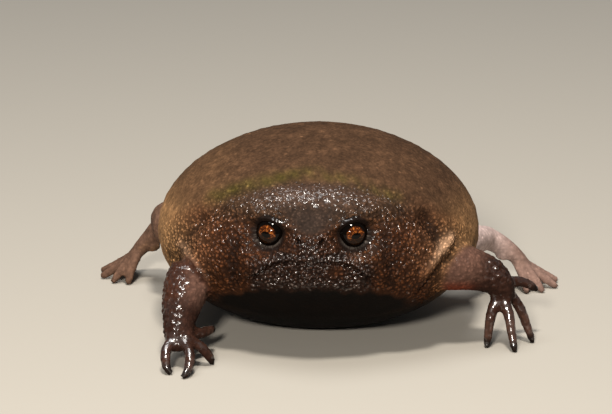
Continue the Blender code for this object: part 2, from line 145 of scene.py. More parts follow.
# Face: the mouth's line, nostrils and wrinkles, placed as the face is seen from the front.
MOUTH_HALF_WIDTH = 8.2
MOUTH_TOP_Z = 15.1
MOUTH_DROP = 3.2
MOUTH_GROOVE = (0.34, 0.5, 0.15)  # its depth in the middle and towards the corners, and its half width
LIPS = ((0.5, 0.22, 0.34), (-0.55, 0.1, 0.4))  # each by its way up from the mouth, height and half width
NOSTRIL = (1.6, 18.0)
NOSTRIL_RINGS = ((0.0, -0.6, 0.28), (0.5, 0.12, 0.2))  # a hole and a low rim, in the same form
# Wrinkles of the left half of the face, mirrored: x and z of their points, height and half width.
WRINKLES = {
    "mouth corner": (((8.0, 12.4), (9.0, 11.0), (9.4, 9.4)), -0.3, 0.35),
    "jowl": (((9.9, 17.2), (10.8, 14.4), (10.6, 11.2)), -0.25, 0.7),
    "canthus": (((4.0, 19.5), (2.4, 18.9)), 0.25, 0.5),
    "brow": (((3.2, 19.6), (5.4, 20.7), (8.2, 20.9)), 0.2, 0.6),
    "under the eye": (((3.8, 15.8), (5.8, 15.1), (8.0, 15.5)), -0.12, 0.5),
}

# Eyes, from their solids, and the opening between their lids.
EYE_TURN_OUT = math.radians(21.0)
EYE_TURN_UP = math.radians(4.0)
LID_SLANT = math.radians(11.0)  # the inner corner is the lower one
LID_HALF_WIDTH = 2.2
LID_RISE = 1.74  # from the corners' line to the upper lid's edge
LID_FALL = 1.98
LID_HEIGHT = 0.2  # how far a lid stands out from the ball of the eye
LID_TUCK = 0.72  # how deep the skin is tucked in behind the lids' edge, as a share of the ball's radius
LID_GROOVE = (0.62, 0.14, 0.2)  # around each lid: its way out from the edge, depth and half width
# Below each eye, out from the ball: a rim and a crease, each by its way out, height and half width.
LOWER_LID = ((0.13, 0.08, 0.13), (0.58, -0.14, 0.25))
IRIS_RADIUS = 1.34
PUPIL_HALF = (0.66, 0.41)

# Limbs. Each station of a line is x, y, z, half width and half thickness, and each of a digit is x, y and z.
FINGER_RADII = (0.87, 0.8, 0.69, 0.55)
TOE_RADII = (0.81, 0.75, 0.56)
ARMS = {
    "right": {
        "line": (
            (-13.0, -8.6, 11.0, 3.5, 3.3),
            (-16.6, -12.4, 10.6, 3.5, 3.2),
            (-17.6, -15.2, 8.9, 3.2, 3.0),
            (-18.0, -17.3, 7.0, 2.7, 2.6),
            (-18.2, -19.0, 5.3, 2.2, 2.0),
            (-18.0, -20.3, 4.0, 2.1, 1.5),
            (-17.6, -21.1, 3.3, 2.0, 1.1),
        ),
        "across": (1.0, 0.3, 0.0),
        "fingers": (
            ((-18.6, -20.4, 3.8), (-19.5, -22.6, 2.9), (-19.4, -24.2, 1.3), (-18.9, -24.7, 0.45)),
            ((-17.4, -20.9, 3.5), (-16.3, -23.3, 2.8), (-16.2, -25.1, 1.3), (-16.7, -26.2, 0.45)),
            ((-16.7, -20.4, 3.6), (-14.9, -20.9, 2.7), (-13.9, -20.5, 1.3), (-13.6, -20.1, 0.45)),
            ((-16.9, -19.3, 3.9), (-15.2, -17.6, 3.7), (-14.3, -16.0, 3.6), (-13.9, -14.8, 3.4)),
        ),
    },
    "left": {
        "line": (
            (13.0, -7.6, 11.4, 3.7, 3.5),
            (18.6, -9.2, 11.6, 3.8, 3.6),
            (22.4, -8.8, 10.8, 3.0, 2.95),
            (24.8, -8.5, 9.8, 2.6, 2.5),
            (26.3, -8.3, 8.6, 2.4, 1.8),
            (26.9, -8.2, 7.5, 2.2, 1.2),
        ),
        "across": (0.2, 1.0, 0.0),
        "fingers": (
            ((26.8, -6.9, 8.5), (28.7, -6.1, 8.4), (30.2, -5.5, 7.8), (31.2, -5.1, 7.0)),
            ((27.0, -7.5, 7.6), (28.8, -7.8, 5.2), (29.9, -8.0, 2.6), (30.7, -8.2, 0.45)),
            ((26.5, -9.2, 7.2), (27.3, -10.6, 4.8), (27.7, -11.6, 2.5), (28.1, -12.5, 0.45)),
            ((25.7, -9.0, 7.3), (24.9, -9.9, 4.9), (24.5, -10.3, 2.4), (24.3, -10.7, 0.45)),
        ),
    },
}
LEGS = {
    "right": {
        "thigh": ((-12.0, 13.0, 7.4, 4.2, 4.0), (-18.0, 11.4, 9.0, 4.3, 3.9), (-22.2, 10.2, 11.0, 3.1, 3.1)),
        "shank": ((-21.9, 10.2, 11.4, 3.0, 3.0), (-23.2, 14.0, 11.2, 2.8, 2.8), (-24.0, 18.4, 9.8, 1.9, 1.9)),
        "sole": (
            (-23.9, 18.2, 9.9, 1.9, 1.9),
            (-25.6, 20.0, 8.0, 1.9, 1.5),
            (-28.0, 20.6, 5.2, 2.1, 1.2),
            (-29.8, 20.8, 3.2, 1.9, 0.9),
        ),
        "toes": (
            ((-28.6, 19.4, 4.4), (-29.4, 17.8, 2.6), (-29.9, 16.6, 0.5)),
            ((-29.5, 19.8, 3.6), (-31.1, 18.2, 1.9), (-32.2, 17.2, 0.5)),
            ((-29.9, 20.5, 3.2), (-32.4, 19.9, 1.6), (-34.2, 19.5, 0.5)),
            ((-29.9, 21.2, 3.2), (-32.4, 22.0, 1.6), (-34.6, 22.6, 0.5)),
            ((-29.0, 21.9, 3.8), (-30.4, 23.6, 1.9), (-31.2, 24.8, 0.5)),
        ),
        "spade": (-26.6, 19.3, 5.6),
    },
    "left": {
        "thigh": ((12.0, 13.0, 7.2, 4.2, 4.0), (17.4, 11.6, 8.0, 4.1, 3.7), (20.6, 10.8, 8.9, 2.9, 2.8)),
        "shank": ((20.8, 10.8, 9.1, 2.7, 2.6), (22.8, 13.8, 8.8, 2.3, 2.2), (24.5, 17.0, 8.2, 1.9, 1.8)),
        "sole": (
            (24.3, 16.8, 8.3, 1.9, 1.8),
            (26.6, 18.2, 7.0, 1.9, 1.5),
            (29.0, 19.0, 5.1, 2.1, 1.2),
            (30.6, 19.5, 3.4, 1.9, 0.9),
        ),
        "toes": (
            ((29.2, 18.2, 4.6), (30.2, 16.6, 2.6), (30.8, 15.4, 0.5)),
            ((30.1, 18.6, 3.8), (31.9, 17.0, 2.0), (33.1, 16.0, 0.5)),
            ((30.5, 19.3, 3.4), (33.2, 18.8, 1.7), (35.2, 18.4, 0.5)),
            ((30.5, 20.0, 3.4), (33.2, 20.8, 1.7), (35.4, 21.4, 0.5)),
            ((29.6, 20.7, 4.0), (31.2, 22.4, 2.0), (32.1, 23.6, 0.5)),
        ),
        "spade": (27.4, 17.6, 5.6),
    },
}
SPADE_SIZE = (1.5, 0.7, 1.1)
LEFT_WRIST_WARTS = (25.6, -10.2, 11.3)
LIMB_SIDES = 28
DIGIT_SIDES = 16
RINGS_A_SPAN = 5
TIP_ANGLES = [math.radians(a) for a in (20, 38, 54, 68, 80)]  # where a domed end's rings lie

# Skin mesh: one voxel size, halved where the forms are small, and halved again at the eyes and mouth.
VOXEL = 0.43
SEED = 7

# What the skin is like on each of its parts, from the whole to the parts that are laid over it.
PEBBLE_SPACING = {"whole": 1.25, "face": 0.8, "face_middle": 0.56, "limb": 0.95, "throat": 0.9}
PEBBLE_HEIGHTS = {
    "whole": 0.05,
    "face": 0.16,
    "muzzle": 0.21,
    "chin": 0.27,
    "dry_chin": 0.06,
    "throat": 0.02,
    "forehead": 0.07,
    "limb": 0.02,
    "warty_arm": 0.15,
    "left_wrist": 0.3,
    "digit": 0.015,
    "leg": 0.03,
}
# How strongly the small grains of the material show, from 0 to 1.
GRAIN = {
    "whole": 0.2,
    "face": 0.9,
    "upper_face": 0.5,
    "throat": 0.1,
    "limb": 0.3,
    "digit": 0.08,
    "leg": 0.15,
    "left_arm_fold": 0.5,
}
# How much water stands on the skin, from 0 to 1.
WATER = {
    "whole": 0.0,
    "damp_face": 0.45,
    "damp_crown": 0.7,
    "muzzle": 1.0,
    "chin": 1.0,
    "dry_chin": 0.1,
    "forehead": 0.0,
    "throat": 0.0,
    "limb": 0.12,
    "warty_arm": 0.62,
    "digit": 0.85,
    "left_wrist": 0.75,
    "leg": 0.0,
    "under_right_eye": 0.32,
    "under_left_eye": 0.62,
}
# How strongly the pigment is clouded.
MOTTLE = {"whole": 1.0, "limb": 0.7, "left_leg": 0.35}

# Pebbles, as shares of their spacing and height.
PEBBLE_GAP = 0.86  # how near one may be to another
PEBBLE_REACH = 0.62  # how far one of size 1 reaches from its middle
PEBBLE_SIZES = (0.25, 1.1)
PEBBLE_LEVEL = 0.35  # how high on a pebble the smooth skin would lie
PEBBLE_LIFT = 1.3  # multiplies every pebble's height

# Colours of the skin's parts.
COLOURS = {
    "back": "443021",
    "crown": "46342A",
    "forehead": "342821",
    "cheek": "4A2A16",
    "cheek_outer": "61402A",
    "snout": "1E1A19",
    "chin": "332017",
    # near black: the throat's own dark brown, darkened further as painted shade under the head
    "throat": "080402",
    # painted shade: near black, though the belly's own colour is a purplish brown
    "belly": "0C0604",
    # the flanks' own tan, made paler as painted light along the sides
    "flank": "95704B",
    "warty_arm": "382016",
    "inner_arm": "543C32",
    # painted glow: light through the thin skin under the arms
    "arm_under_painted_glow": "62240E",
    "hand": "2B1912",
    "digit_tip": "1A110D",
    # painted shade: the right hind leg's foot, darker than the left one
    "foot": "5A4336",
    # painted light: the left hind leg, paler than the right one
    "pale_shank_painted_light": "BEA8A2",
    "pale_foot_painted_light": "7C6359",
    "olive": "453D18",
    "fold": "BD9677",
    # painted shade in creases, hollows and nostrils, and darker patches on the cheeks
    "crease": "170C07",
    # the lids' own dark skin, and painted shade round the eyes
    "lid_edge": "140B07",
    # a pale rim under each eye, made paler as painted light that the rim catches
    "lower_lid_edge": "413B36",
}
# Shades on the cheeks, as seen from the front: colour, share, x and z, half width, and height to width.
CHEEK_SHADES = (
    # painted light under the left eye
    ("cheek_outer", 0.4, 6.8, 15.4, 2.2, 1.0),
    # painted shade under the right eye
    ("crease", 0.25, -6.8, 15.4, 2.2, 1.0),
    # darker on the outer left cheek
    ("crease", 0.2, 12.5, 15.0, 3.0, 1.4),
)


def smoothstep(low, high, value):
    """0 below low and 1 above high, with an even slope between. low may be the larger."""
    share = np.clip((value - low) / (high - low), 0.0, 1.0)
    return share * share * (3 - 2 * share)


def smooth_larger(a, b, softness):
    """The larger of a and b, rounded where they are alike."""
    return softness * np.logaddexp(a / softness, b / softness)


def hill(value, width):
    """1 where value is 0, falling off to both sides within about its width."""
    return np.exp(-((value / width) ** 2))


def ridges(distance, rows):
    """Rounded ridges and grooves beside a line or a place: rows of way out, height and half width."""
    return sum(height * hill(distance - way_out, half_width) for way_out, height, half_width in rows)


def line_distance(points, corners):
    """How far each point is from a line through the corners, in as many dimensions as they have."""
    nearest = np.full(len(points), np.inf)
    for start, end in zip(corners, corners[1:]):
        start, along = np.array(start), np.array(end) - np.array(start)
        share = np.clip((points - start) @ along / (along @ along), 0.0, 1.0)
        foot = start + share[:, None] * along
        nearest = np.minimum(nearest, np.linalg.norm(points - foot, axis=1))
    return nearest


def read_points(mesh, what="co"):
    values = np.empty(len(mesh.vertices) * 3)
    mesh.vertices.foreach_get(what, values)
    return values.reshape(-1, 3)


def write_points(mesh, points):
    mesh.vertices.foreach_set("co", points.ravel())
    mesh.update()


def mesh_of(bm, name="working"):
    """The mesh of a finished bmesh, which is freed."""
    mesh = bpy.data.meshes.new(name)
    bm.normal_update()
    bm.to_mesh(mesh)
    bm.free()
    return mesh


def add_piece(name, mesh, material, replaced):
    """A finished piece: its mesh brought to metres, riding in place of the solids that it replaces."""
    mesh.transform(Matrix.Scale(MM, 4))
    mesh.name = name
    piece = bpy.data.objects.new(name, mesh)
    bpy.context.scene.collection.objects.link(piece)
    mesh.materials.append(material)
    mesh.shade_smooth()
    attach(piece, "root")
    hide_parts(*replaced)


# Forms of the body and limbs


def egg_distance(points):
    """Roughly how far points lie outside the plain egg."""
    offset = (points - BODY_MIDDLE) / BODY_HALF
    return (np.linalg.norm(offset, axis=1) - 1) * BODY_HALF.min()


def swelling_at(points):
    """How far the skin stands out from the plain egg."""
    left = np.column_stack([abs(points[:, 0]), points[:, 1:]])
    height = np.zeros(len(points))
    for centre, reach, peak in SWELLINGS.values():
        offset = (left - centre) / reach
        height += peak * np.exp(-(offset**2).sum(axis=1))
    for corners, rise, half_width in LINES.values():
        height += rise * hill(line_distance(left, corners), half_width)
    return height


def make_body():
    """A cube rounded to an egg, with its swellings and creases."""
    bm = bmesh.new()
    bmesh.ops.create_cube(bm, size=2.0)
    bmesh.ops.subdivide_edges(bm, edges=bm.edges, cuts=BODY_CUTS, use_grid_fill=True)
    mesh = mesh_of(bm)
    even = np.tan(read_points(mesh) * math.pi / 4)
    even /= np.linalg.norm(even, axis=1, keepdims=True)
    rays = even - [0.0, FACE_SHARE, 0.0]
    rays /= np.linalg.norm(rays, axis=1, keepdims=True)
    places = BODY_MIDDLE + rays * BODY_HALF
    normals = rays / BODY_HALF
    normals /= np.linalg.norm(normals, axis=1, keepdims=True)
    write_points(mesh, places + normals * swelling_at(places)[:, None])
    return mesh


def between(stations, steps):
    """More stations on a smooth curve through the given ones."""
    ends = [stations[0], *stations, stations[-1]]
    smooth = []
    for a, b, c, d in zip(ends, ends[1:], ends[2:], ends[3:]):
        for i in range(steps):
            t = i / steps
            weights = (
                -t / 2 + t * t - t**3 / 2,
                1 - 2.5 * t * t + 1.5 * t**3,
                t / 2 + 2 * t * t - 1.5 * t**3,
                -t * t / 2 + t**3 / 2,
            )
            smooth.append([sum(w * s[k] for w, s in zip(weights, (a, b, c, d))) for k in range(len(b))])
    return [*smooth, list(stations[-1])]


def dome(end, outward, size):
    """Ever smaller rings past a limb's end, each a centre and a size, that round it off."""
    rings = []
    for angle in TIP_ANGLES:
        centre = end + outward * min(size) * math.sin(angle)
        rings.append((centre, [s * math.cos(angle) for s in size]))
    return rings


def next_ring(bm, ring):
    """Extrudes a ring of vertices, and gives the copies in the ring's order."""
    edges = {e for v in ring for e in v.link_edges if e.other_vert(v) in ring}
    made = bmesh.ops.extrude_edge_only(bm, edges=list(edges))["geom"]
    copies = {v for v in made if isinstance(v, bmesh.types.BMVert)}
    return [next(e.other_vert(v) for e in v.link_edges if e.other_vert(v) in copies) for v in ring]


def make_tube(stations, sides, across=None):
    """A closed round limb along its stations, with a domed end at each."""
    rows = between(stations, RINGS_A_SPAN)
    centres = [Vector(row[:3]) for row in rows]
    sizes = [(row[3], row[-1]) for row in rows]
    first = (centres[1] - centres[0]).normalized()
    last = (centres[-1] - centres[-2]).normalized()
    root_dome = reversed(dome(centres[0], -first, sizes[0]))
    rings = [*root_dome, *zip(centres, sizes), *dome(centres[-1], last, sizes[-1])]
    side = Vector(across) if across else first.orthogonal()
    bm = bmesh.new()
    ring = bmesh.ops.create_circle(bm, segments=sides, radius=1.0)["verts"]
    for i, (centre, size) in enumerate(rings):
        if i:
            ring = next_ring(bm, ring)
        ahead = rings[min(i + 1, len(rings) - 1)][0]
        behind = rings[max(i - 1, 0)][0]
        tangent = (ahead - behind).normalized()
        side = (side - tangent * side.dot(tangent)).normalized()
        over = tangent.cross(side)
        for k, vert in enumerate(ring):
            turn = 2 * math.pi * k / sides
            vert.co = centre + side * size[0] * math.cos(turn) + over * size[1] * math.sin(turn)
    bmesh.ops.holes_fill(bm, edges=bm.edges, sides=sides)
    bm.normal_update()
    bmesh.ops.recalc_face_normals(bm, faces=bm.faces)
    return mesh_of(bm)


def make_ball(centre, half):
    """A ball or egg, for the digging spade on a heel or for the mound of an eye's lids."""
    bm = bmesh.new()
    bmesh.ops.create_uvsphere(bm, u_segments=32, v_segments=20, radius=1.0)
    bmesh.ops.scale(bm, verts=bm.verts, vec=Vector(half))
    bmesh.ops.translate(bm, verts=bm.verts, vec=Vector(centre))
    return mesh_of(bm)


def digit_stations(plans, part, radii):
    """The stations of all fingers or all toes, with their radii."""
    digits = [digit for plan in plans.values() for digit in plan[part]]
    return [[(*place, radius) for place, radius in zip(digit, radii)] for digit in digits]


DIGITS = digit_stations(ARMS, "fingers", FINGER_RADII) + digit_stations(LEGS, "toes", TOE_RADII)


def limb_tubes():
    """Every limb and digit as its stations, its count of sides and the way it is flattened."""
    tubes = [(digit, DIGIT_SIDES, None) for digit in DIGITS]
    tubes += [(plan["line"], LIMB_SIDES, plan["across"]) for plan in ARMS.values()]
    for plan in LEGS.values():
        tubes += [(plan["thigh"], LIMB_SIDES, None), (plan["shank"], LIMB_SIDES, None)]
        tubes.append((plan["sole"], LIMB_SIDES, (0.0, 1.0, 0.0)))
    return tubes


def limb_distance(points):
    """Roughly how far points lie outside the nearest limb or digit."""
    nearest = np.full(len(points), np.inf)
    for stations, _, _ in limb_tubes():
        rows = np.array([[*row[:3], (row[3] + row[-1]) / 2] for row in between(stations, 3)])
        for start, end in zip(rows, rows[1:]):
            along = end[:3] - start[:3]
            share = np.clip((points - start[:3]) @ along / (along @ along), 0.0, 1.0)
            foot = start[:3] + share[:, None] * along
            radius = start[3] + share * (end[3] - start[3])
            nearest = np.minimum(nearest, np.linalg.norm(points - foot, axis=1) - radius)
    return nearest


# One skin


def fuse(meshes):
    """Closed meshes as one skin of even quads."""
    bm = bmesh.new()
    for mesh in meshes:
        bm.from_mesh(mesh)
    joined = bpy.data.objects.new("fused", mesh_of(bm))
    bpy.context.scene.collection.objects.link(joined)
    remesh = joined.modifiers.new("remesh", "REMESH")
    remesh.mode = "VOXEL"
    remesh.voxel_size = VOXEL
    graph = bpy.context.evaluated_depsgraph_get()
    skin = bpy.data.meshes.new_from_object(joined.evaluated_get(graph))
    bpy.data.objects.remove(joined)
    return skin


def relax(mesh, weights, times):
    """Draws each point towards the middle of its neighbours, by its weight."""
    points = read_points(mesh)
    edges = np.empty(len(mesh.edges) * 2, dtype=np.int64)
    mesh.edges.foreach_get("vertices", edges)
    a, b = edges.reshape(-1, 2).T
    count = np.bincount(a, minlength=len(points)) + np.bincount(b, minlength=len(points))
    for _ in range(times):
        middle = np.empty_like(points)
        for k in range(3):
            total = np.bincount(a, points[b, k], len(points)) + np.bincount(b, points[a, k], len(points))
            middle[:, k] = total / count
        points += (middle - points) * weights[:, None]
    write_points(mesh, points)


def refine(mesh, wanted):
    """Splits each face whose centre `wanted` picks into four."""
    centres = np.empty(len(mesh.polygons) * 3)
    mesh.polygons.foreach_get("center", centres)
    picked = np.flatnonzero(wanted(centres.reshape(-1, 3)))
    bm = bmesh.new()
    bm.from_mesh(mesh)
    bm.faces.ensure_lookup_table()
    edges = list({e for i in picked for e in bm.faces[i].edges})
    bmesh.ops.subdivide_edges(bm, edges=edges, cuts=1, use_grid_fill=True)
    finer = mesh_of(bm)
    bpy.data.meshes.remove(mesh)
    return finer


def mouth_height(x):
    """The mouth's line seen from the front: level in the middle and turned down at its corners."""
    return MOUTH_TOP_Z - MOUTH_DROP * (abs(x) / MOUTH_HALF_WIDTH) ** 3


def fine_zone(points):
    """Where forms and pebbles are small: the face, the crown, the arms and the hands."""
    x, y, z = points.T
    face = (y < -12.6) & (z > 7.0) & (abs(x) < 17.5)
    arms = (y < -4) & (limb_distance(points) < 0.3) & (abs(x) > 13.5)
    return face | arms


def finest_zone(points):
    """Where lids, lips, nostrils and the pebbles between them need crisp edges."""
    x, y, z = points.T
    near_eye = np.zeros(len(points), dtype=bool)
    for eye in EYES.values():
        near_eye |= np.linalg.norm(points - eye["centre"], axis=1) < eye["radius"] + 1.2
    near_mouth = (y < -15) & (np.hypot(x / 8.7, (z - 15.2) / 4.1) < 1)
    return near_eye | near_mouth


def eye_frame(node, side):
    """An eye's centre and radius, from its solid, and its axes: out, to the outer corner, and up."""
    low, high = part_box(node)
    centre = np.array((low + high) / 2) / MM
    radius = (high.z - low.z) / 2 / MM
    out = Vector((math.sin(EYE_TURN_OUT), -math.cos(EYE_TURN_OUT), math.tan(EYE_TURN_UP))).normalized()
    level = Vector((math.cos(EYE_TURN_OUT), math.sin(EYE_TURN_OUT), 0.0))
    rise = level.cross(out).normalized()
    rise = rise if rise.z > 0 else -rise
    across = level * math.cos(LID_SLANT) + rise * math.sin(LID_SLANT)
    up = across.cross(out).normalized()
    up = up if up.z > 0 else -up
    mirror = np.array([side, 1.0, 1.0])
    axes = [np.array(axis) * mirror for axis in (out, across, up)]
    return {"node": node, "centre": centre, "radius": radius, "axes": axes}


EYES = {"right": eye_frame("eye_right", -1), "left": eye_frame("eye_left", 1)}


def in_eye(points, eye):
    """Each point as an eye has it: how far out, across and up its direction points, and its distance."""
    offset = points - eye["centre"]
    reach = np.linalg.norm(offset, axis=1)
    out, across, up = (offset @ axis / reach for axis in eye["axes"])
    return out, across, up, reach


def lid_distance(out, across, up, eye):
    """How far outside the lids' edge a direction lies, along the ball of the eye, and negative inside."""
    heading = np.hypot(across, up) + 1e-9
    half_height = np.where(up > 0, LID_RISE, LID_FALL)
    edge = 1 / np.hypot(across / heading / LID_HALF_WIDTH, up / heading / half_height)
    return eye["radius"] * (np.arctan2(heading, out) - np.arcsin(edge / eye["radius"]))


def shape_lids(points):
    """Lids as a rounded rim over each eye, with the skin tucked in behind the ball of the eye."""
    for eye in EYES.values():
        out, across, up, reach = in_eye(points, eye)
        outside = lid_distance(out, across, up, eye)
        # the upper lid is the heavier one
        upper = smoothstep(-0.1, 0.5, up)
        lid = eye["radius"] + LID_HEIGHT * (1 + 1.4 * upper)
        lid -= 0.9 * np.maximum(outside - 0.25 - 0.3 * upper, 0)
        near = smoothstep(eye["radius"] + 2.4, eye["radius"] + 1.4, reach) * smoothstep(-0.1, 0.2, out)
        shaped = smooth_larger(reach, np.maximum(lid, 0.1), 0.06)
        way_out, depth, half_width = LID_GROOVE
        shaped -= depth * hill(outside - way_out - 0.5 * upper, half_width)
        tucked = smoothstep(0.08, -0.22, outside)
        shaped = shaped * (1 - tucked) + eye["radius"] * LID_TUCK * tucked
        wanted = reach + (shaped - reach) * near
        points = eye["centre"] + (points - eye["centre"]) * (wanted / reach)[:, None]
    return points


def below_eye(points, eye):
    """How far each point lies outside the ball of an eye, and whether it is on the side of the lower lid."""
    out, across, up, reach = in_eye(points, eye)
    lower = smoothstep(0.1, -0.25, up) * smoothstep(0.3, 0.0, lid_distance(out, across, up, eye))
    return reach - eye["radius"], lower * smoothstep(0.0, 0.3, out)


def lower_lid_relief(points):
    """A rounded rim where the skin below each eye meets the ball, with a crease under it."""
    relief = np.zeros(len(points))
    for eye in EYES.values():
        gap, lower = below_eye(points, eye)
        relief += lower * ridges(gap, LOWER_LID)
    return relief


def face_relief(points):
    """How far the mouth, lips, nostrils and wrinkles move the face in or out."""
    x, y, z = abs(points[:, 0]), points[:, 1], points[:, 2]
    slope = 3 * MOUTH_DROP / MOUTH_HALF_WIDTH * (x / MOUTH_HALF_WIDTH) ** 2
    above = (z - mouth_height(x)) / np.hypot(1, slope)
    along = smoothstep(MOUTH_HALF_WIDTH + 0.9, MOUTH_HALF_WIDTH - 0.3, x)
    middle_depth, corner_depth, half_width = MOUTH_GROOVE
    depth = middle_depth + (corner_depth - middle_depth) * smoothstep(1.5, 5.0, x)
    relief = along * (ridges(above, LIPS) - depth * hill(above, half_width))
    relief += ridges(np.hypot(x - NOSTRIL[0], z - NOSTRIL[1]), NOSTRIL_RINGS)
    flat = np.column_stack([x, z])
    for corners, rise, half_width in WRINKLES.values():
        relief += rise * hill(line_distance(flat, corners), half_width)
    return relief * smoothstep(-12.5, -15.0, y)


def fold_relief(points):
    """How far the folds in front of the arms stand out, and the creases beside them sink in."""
    relief = np.zeros(len(points))
    for corners, rise, half_width in FOLDS.values():
        relief += rise * hill(line_distance(points, corners), half_width)
    return relief


def move_out(mesh, heights):
    """Moves each point out along its normal by its height."""
    write_points(mesh, read_points(mesh) + read_points(mesh, "normal") * heights[:, None])


# Pebbles


def regions(points, normals):
    """How much each point belongs to each part of the skin, from 0 to 1."""
    x, y, z = points.T
    wide = abs(x)
    # a limb's own skin starts a little outside the body
    limb = smoothstep(0.9, 0.2, limb_distance(points)) * smoothstep(0.3, 1.2, egg_distance(points))
    digit_gap = np.min([line_distance(points, [row[:3] for row in digit]) for digit in DIGITS], axis=0)
    # the face ends in a soft edge over the crown and down in front of the arms
    side = np.maximum(wide - 7, 0)
    back_edge = -13.1 + 0.1 * wide + 3.5 * smoothstep(20.5, 16.0, z) * smoothstep(11.0, 17.0, wide)
    face = smoothstep(0.5 + 0.2 * side, -0.9 - 0.2 * side, y - back_edge) * (1 - limb)
    # the throat is smooth below a slightly wavy edge
    throat_edge = 10.9 - 0.012 * x**2 + 0.45 * np.sin(1.7 * x) * np.sin(0.9 * x + 1)
    throat = smoothstep(0.9, -0.9, z - throat_edge) * smoothstep(15.5, 12.0, wide) * face
    low_belly = smoothstep(6.5, 3.0, z) * (1 - limb)
    # the dark forehead narrows towards the snout
    forehead = face * smoothstep(1.6, -1.4, wide - 0.8 - (z - 18.0) * 0.95)
    forehead *= smoothstep(18.0, 19.4, z) * smoothstep(23.2, 20.8, z)
    wrist_top = hill(np.linalg.norm(points - LEFT_WRIST_WARTS, axis=1), 2.1)
    leg = limb * smoothstep(4.0, 7.0, y)
    crown = face * smoothstep(20.3, 22.8, z)
    snout = face * hill(wide, 3.4) * hill(z - 17.0, 1.6)
    lips = face * smoothstep(8.5, 6.5, wide) * smoothstep(12.0, 13.5, z) * smoothstep(17.0, 16.0, z)
    below_top = smoothstep(24.5, 23.5, z + 0.018 * wide**2)
    part = {
        "whole": np.ones(len(points)),
        "limb": limb,
        "warty_arm": limb * np.where(x < 0, smoothstep(0.5, -0.2, normals[:, 0]) * (y < 0), wrist_top),
        "left_wrist": limb * wrist_top,
        "digit": limb * smoothstep(1.5, 1.0, digit_gap),
        "leg": leg,
        "left_leg": leg * (x > 0),
        "left_arm_fold": hill(line_distance(points, FOLDS["left arm fold"][0]), 0.8),
        "face": face,
        "face_middle": face * hill(x, 9.0),
        "damp_face": face * smoothstep(18.0, 14.0, wide) * below_top,
        "throat": np.maximum(throat, low_belly),
        "crown": crown,
        "damp_crown": crown * hill(wide, 10.0) * below_top,
        "forehead": forehead,
        "upper_face": np.maximum(forehead, crown),
        "snout": snout,
        "lips": lips,
        "muzzle": np.maximum(snout, lips),
        "chin": face * smoothstep(9.5, 7.5, wide) * smoothstep(15.2, 14.2, z) * smoothstep(9.2, 10.4, z),
        "dry_chin": face * hill(np.hypot((x - 3.5) / 1.3, z - 13.7), 1.0),
    }
    for name, eye in EYES.items():
        gap, lower = below_eye(points, eye)
        part[f"under_{name}_eye"] = lower * smoothstep(2.4, 1.2, gap)
    return part


def blend_values(table, part):
    """Draws a value towards each of the table's in turn, by the share of the part that it is for."""
    values = np.zeros(len(part["whole"]))
    for name, value in table.items():
        values += (value - values) * np.clip(part[name], 0, 1)
    return values


def on_lids(points, eye, full_at, upper_width):
    """1 on the smooth edges of an eye's lids, wider by upper_width on the upper one, and 0 further out."""
    out, across, up, reach = in_eye(points, eye)
    outside = lid_distance(out, across, up, eye)
    near = smoothstep(eye["radius"] + 0.95, eye["radius"] + 0.5, reach)
    return near * smoothstep(0.36, full_at, outside - upper_width * smoothstep(0, 0.5, up))


def clear_of_lids(points):
    """0 on the lids' smooth edges, where there are no pebbles, and 1 elsewhere."""
    clear = np.ones(len(points))
    for eye in EYES.values():
        clear *= 1 - on_lids(points, eye, 0.14, 0.15)
    return clear


def lid_water(points):
    """How wet the lids' smooth edges are, most of all above the inner corner of each eye."""
    water = np.full(len(points), 0.2)
    for eye in EYES.values():
        _, across, up, reach = in_eye(points, eye)
        water += 0.32 * smoothstep(0.1, 0.5, up) * smoothstep(0.3, -0.2, across) * (reach < 4)
    return water


def scatter(tree, points, spacing, draws):
    """A random choice of the points, none nearer to another than its spacing."""
    free = np.ones(len(points), dtype=bool)
    chosen = []
    for i in draws.permutation(len(points)):
        if free[i]:
            chosen.append(i)
            free[[j for _, j, _ in tree.find_range(points[i], spacing[i])]] = False
    return np.array(chosen)


def raise_pebbles(mesh, part, clear):
    """Domes each pebble, and returns how high every point stands on one."""
    points = read_points(mesh)
    tree = kdtree.KDTree(len(points))
    for i, point in enumerate(points):
        tree.insert(point, i)
    tree.balance()
    draws = np.random.default_rng(SEED)
    spacing = blend_values(PEBBLE_SPACING, part)
    seeds = scatter(tree, points, spacing * PEBBLE_GAP, draws)
    # pebbles are of even size on the face and limbs, and mostly small on the back
    evenness = np.clip(part["face"] + part["limb"], 0, 1)[seeds]
    size = draws.uniform(*PEBBLE_SIZES, len(seeds)) ** (2.2 - 1.9 * evenness)
    lift = np.zeros(len(points))
    for i, height, radius in zip(seeds, size, spacing[seeds] * PEBBLE_REACH * size):
        for _, j, gap in tree.find_range(points[i], radius):
            lift[j] = max(lift[j], height * (1 - (gap / radius) ** 2) ** 2)
    move_out(mesh, (lift - PEBBLE_LEVEL) * (blend_values(PEBBLE_HEIGHTS, part) * clear) * PEBBLE_LIFT)
    return lift


# Markings


def linear(colour):
    """An sRGB hex colour as the linear red, green and blue that Blender's sockets and attributes take."""
    channels = [int(colour[i : i + 2], 16) / 255 for i in (0, 2, 4)]
    return [c / 12.92 if c <= 0.04045 else ((c + 0.055) / 1.055) ** 2.4 for c in channels]


